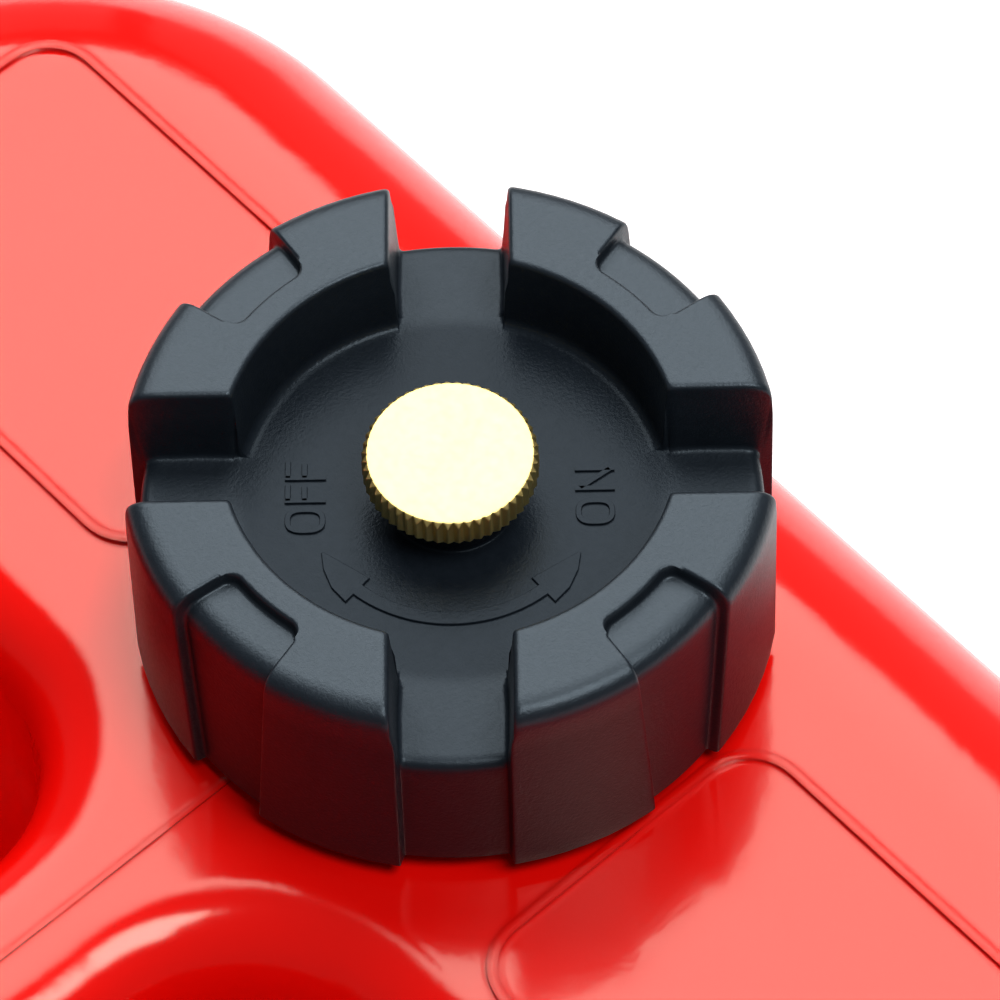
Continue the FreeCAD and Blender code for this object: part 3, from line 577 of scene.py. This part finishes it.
def vent_screw_surface():
    """Rows follow the section from the top's middle to the foot, columns go round the teeth."""
    knob_radius, tooth_depth, teeth = 12.0, 0.75, 51
    knob_height, bevel = 4.8, 0.7
    shank, groove, bore = 4.0, 0.6, 1.2
    top = (screw_high.z - cap_top) / mm
    foot = (screw_low.z - cap_top) / mm
    ring_top = (ring_high.z - cap_top) / mm
    ring_foot = (ring_low.z - cap_top) / mm
    under = top - knob_height
    corners = [
        (0.001, top), (knob_radius - bevel, top), (knob_radius, top - bevel), (knob_radius, under + bevel),
        (knob_radius - bevel, under), (shank, under), (shank, ring_top), (shank - groove, ring_top),
        (shank - groove, ring_foot), (shank, ring_foot), (shank, foot), (bore, foot), (bore, under),
        (0.001, under),
    ]
    setbacks = [0, 0.15, 0.12, 0.12, 0.15, 0.1, 0.1, 0.05, 0.05, 0.1, 0.4, 0.2, 0.1, 0]
    steps = [12, 4, 6, 4, 2, 4, 1, 1, 1, 3, 1, 3, 1, 0]
    section = rounded_path(corners, setbacks, 4, steps, False)
    per_tooth = 8
    around = np.linspace(0, 2 * math.pi, teeth * per_tooth, endpoint=False)
    share = np.abs((np.arange(teeth * per_tooth) % per_tooth) / per_tooth - 0.5) * 2
    limit = knob_radius - tooth_depth * (1 - share)
    radius = np.minimum(section[:, 0:1], limit[None, :])
    angle = around[None, :] + cap_yaw
    x = cap_axis.x + radius * np.cos(angle) * mm
    y = cap_axis.y + radius * np.sin(angle) * mm
    z = cap_top + np.broadcast_to(section[:, 1:2], radius.shape) * mm
    points = np.stack([x, y, z], axis=-1)
    return points, grid_faces(points.shape[0], points.shape[1], False, True)[:, ::-1]


brass = turned_brass("turned_brass", (0.90, 0.72, 0.40), 0.28)
pale_brass = turned_brass("knob_brass", (0.90, 0.69, 0.25), 0.42)
screw_points, screw_faces = vent_screw_surface()
vent_screw = add_piece("vent_screw_turned", screw_points, screw_faces, pale_brass, "vent")
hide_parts("vent_screw")
dress("vent_bush", brass)


# Gauge and outlet head: black moulded nylon on a rubber gasket, held by six stainless screws
# in brass inserts, with a brass hose fitting screwed into it.
def plain_plastic(name, dark, light, rough, grain_scale=900.0):
    """Moulded plastic or rubber with a little cloud in its colour and a fine grain."""
    material, nodes, links, shader = new_material(name)
    cloud = noise(nodes, links, 120.0)
    links.new(blend_colour(nodes, links, cloud, dark, light), shader.inputs["Base Color"])
    links.new(spread(nodes, links, noise(nodes, links, 400.0), rough - 0.06, rough + 0.06),
              shader.inputs["Roughness"])
    grain = bump(nodes, links, noise(nodes, links, grain_scale, 2.0), 0.00003)
    links.new(grain, shader.inputs["Normal"])
    return material


def steel(name):
    """Stainless steel with fine brush marks."""
    material, nodes, links, shader = new_material(name)
    marks = noise(nodes, links, 500.0, 3.0, 0.6, (1.0, 1.0, 0.12))
    links.new(blend_colour(nodes, links, marks, (0.60, 0.60, 0.62), (0.78, 0.78, 0.79)),
              shader.inputs["Base Color"])
    shader.inputs["Metallic"].default_value = 1.0
    links.new(spread(nodes, links, marks, 0.24, 0.38), shader.inputs["Roughness"])
    links.new(bump(nodes, links, marks, 0.00001), shader.inputs["Normal"])
    return material


rubber = plain_plastic("black_rubber", (0.016, 0.016, 0.016), (0.026, 0.026, 0.026), 0.7)
stainless = steel("stainless_steel")
nylon = plain_plastic("black_nylon", (0.016, 0.017, 0.019), (0.028, 0.029, 0.031), 0.46, 1400.0)
dress("gauge_head", nylon)
for name in ("cap_gasket", "vent_washer", "head_gasket", "lens_seal", "elbow_seal"):
    dress(name, rubber)
for name in ("head_screws", "head_washers", "vent_stop_ring", "gauge_spindle"):
    dress(name, stainless)
for name in ("head_inserts", "outlet_elbow"):
    dress(name, brass)


# Gauge: a white printed dial and a red pointer under a clear crowned lens.
# The dial's marks are thin printed forms that lie on the dial.
def clear_plastic():
    """Clear acrylic with a faint uneven polish."""
    material, nodes, links, shader = new_material("clear_lens")
    shader.inputs["Base Color"].default_value = (0.97, 0.985, 0.99, 1)
    shader.inputs["Transmission Weight"].default_value = 1.0
    shader.inputs["IOR"].default_value = 1.49
    links.new(spread(nodes, links, noise(nodes, links, 300.0), 0.01, 0.05), shader.inputs["Roughness"])
    return material


dress("gauge_lens", clear_plastic())
dress("gauge_dial", plain_plastic("dial_white", (0.84, 0.84, 0.82), (0.90, 0.90, 0.88), 0.5))
dress("gauge_pointer", plain_plastic("pointer_red", (0.72, 0.03, 0.02), (0.82, 0.05, 0.03), 0.4))
natural = plain_plastic("natural_plastic", (0.76, 0.74, 0.67), (0.84, 0.82, 0.76), 0.45)
for name in ("gauge_guide", "pickup_tube", "pickup_screen"):
    dress(name, natural)
dress("gauge_float", plain_plastic("black_foam", (0.05, 0.05, 0.055), (0.12, 0.12, 0.13), 0.85, 2200.0))

dial_low, dial_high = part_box("gauge_dial")
dial_middle = (dial_low + dial_high) / 2


def dial_marks():
    """Nine ticks on an arc of 270 degrees, long at empty, half and full."""
    parts = []
    for index in range(9):
        angle = math.radians(135.0 - 270.0 * index / 8)
        long_tick = index in (0, 4, 8)
        inner = 11.4 if long_tick else 13.2
        direction = np.array([math.cos(angle), math.sin(angle)])
        line = np.stack([direction * inner, direction * 15.6])
        points, faces = bead(line, 1.1 if long_tick else 0.7, 0.05)
        points = points * mm
        points[:, 0] += dial_middle.x
        points[:, 1] += dial_middle.y
        points[:, 2] += dial_high.z
        parts.append((points, faces))
    return join_parts(parts)


tick_points, tick_faces = dial_marks()
mark_ink = plain_plastic("mark_ink", (0.012, 0.012, 0.012), (0.02, 0.02, 0.02), 0.5)
add_piece("dial_marks", tick_points, tick_faces, mark_ink, "tank", smooth=False)


# Studio: a white floor that the camera sees as pure white outside the tank's shadow, a large
# soft box behind and above the tank, a small one in front, and two low pale walls behind.
floor_mesh = bpy.data.meshes.new("floor")
floor_mesh.from_pydata([(-4, -4, 0), (4, -4, 0), (4, 4, 0), (-4, 4, 0)], [], [(0, 1, 2, 3)])
floor = bpy.data.objects.new("floor", floor_mesh)
bpy.context.scene.collection.objects.link(floor)
floor_material, floor_nodes, floor_links, floor_shader = new_material("white_floor")
floor_shader.inputs["Base Color"].default_value = (0.9, 0.9, 0.9, 1)
floor_shader.inputs["Roughness"].default_value = 0.9
floor_shader.inputs["Specular IOR Level"].default_value = 0.0
floor_shader.inputs["Emission Color"].default_value = (1, 1, 1, 1)
seen = floor_nodes.new("ShaderNodeLightPath")
glow = floor_nodes.new("ShaderNodeMath")
glow.operation = "ADD"
floor_links.new(spread(floor_nodes, floor_links, seen.outputs["Is Camera Ray"], 0.0, 0.5), glow.inputs[0])
floor_links.new(spread(floor_nodes, floor_links, seen.outputs["Is Glossy Ray"], 0.0, 0.2), glow.inputs[1])
floor_links.new(glow.outputs["Value"], floor_shader.inputs["Emission Strength"])
floor_mesh.materials.append(floor_material)

world = bpy.data.worlds.new("world")
bpy.context.scene.world = world
world.use_nodes = True
world.node_tree.nodes["Background"].inputs["Color"].default_value = (0.95, 0.97, 1.0, 1)
world.node_tree.nodes["Background"].inputs["Strength"].default_value = 0.12


def soft_box(name, place, target, width, height, brightness):
    """A rectangular lamp that faces its target; its power is brightness times pi times area."""
    data = bpy.data.lights.new(name, "AREA")
    data.shape = "RECTANGLE"
    data.size = width
    data.size_y = height
    data.energy = brightness * math.pi * width * height
    item = bpy.data.objects.new(name, data)
    place = Vector(place)
    item.location = place
    item.rotation_mode = "QUATERNION"
    item.rotation_quaternion = (Vector(target) - place).to_track_quat("-Z", "Y")
    bpy.context.scene.collection.objects.link(item)


top_middle = Vector((0.15, 0, 0.2))
box_rise = math.radians(54)
box_way = Vector((-math.sin(view_turn), math.cos(view_turn), math.tan(box_rise))).normalized()
soft_box("back_box", top_middle + box_way * 2.1, top_middle, 1.9, 1.6, 4.7)
soft_box("front_box", (0.3, -0.8, 2.2), top_middle, 0.9, 0.9, 11.0)
soft_box("end_wall", (2.3, 0.7, 0.75), (0.2, 0.7, 0.75), 2.6, 1.5, 0.2)
soft_box("side_wall", (1.35, 2.3, 0.75), (1.35, 0.2, 0.75), 1.9, 1.5, 0.2)

bpy.context.scene.view_settings.view_transform = "Standard"
